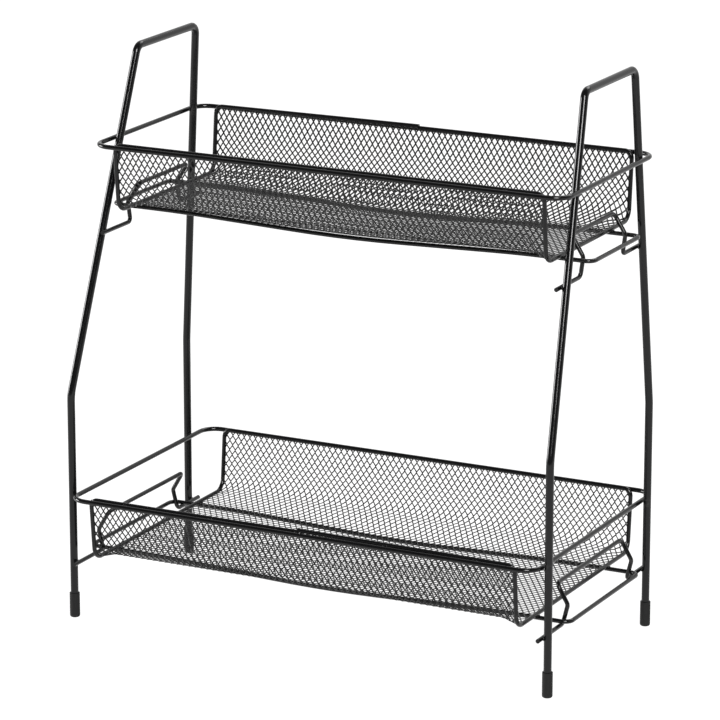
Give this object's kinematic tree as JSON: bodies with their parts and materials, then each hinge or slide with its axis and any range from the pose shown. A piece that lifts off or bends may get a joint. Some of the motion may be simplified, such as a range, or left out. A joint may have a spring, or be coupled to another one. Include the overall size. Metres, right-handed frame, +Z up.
{
  "type": "tiered wire basket",
  "caption": "Tiered wire basket: long open mesh troughs hang one above the other on wire hooks between bent rod side frames with handle bars and rubber-capped feet.",
  "frame": {"origin": "on the counter, under the middle of the overall box", "axes": "+Z up, X along the baskets, -Y is the front, where the lower basket stands out past the upper one"},
  "size_m": [0.3676, 0.1992, 0.3927],
  "materials": {
    "coated_rod": "satin black powder coat",
    "coated_wire": "satin black powder coat",
    "coated_mesh": "satin black powder coat",
    "foot_rubber": "matt black"
  },
  "bodies": {
    "rack": {"left_side_frame": "coated_rod", "left_front_foot_cap": "foot_rubber", "left_back_foot_cap": "foot_rubber", "lower_left_hook": "coated_wire", "upper_left_hook": "coated_wire", "right_side_frame": "coated_rod", "right_front_foot_cap": "foot_rubber", "right_back_foot_cap": "foot_rubber", "lower_right_hook": "coated_wire", "upper_right_hook": "coated_wire"},
    "lower_basket": {"lower_rim_wire": "coated_wire", "lower_mesh_edge_wire": "coated_wire", "lower_mesh_trough": "coated_mesh", "lower_base_loop": "coated_wire"},
    "upper_basket": {"upper_rim_wire": "coated_wire", "upper_mesh_edge_wire": "coated_wire", "upper_mesh_trough": "coated_mesh", "upper_base_loop": "coated_wire"}
  },
  "joints": [
    {"name": "lower_basket_lift", "type": "slide", "parent": "rack", "child": "lower_basket", "axis": [0, 0, 1], "range_m": [0, 0.045]},
    {"name": "upper_basket_lift", "type": "slide", "parent": "rack", "child": "upper_basket", "axis": [0, 0, 1], "range_m": [0, 0.045]}
  ]
}
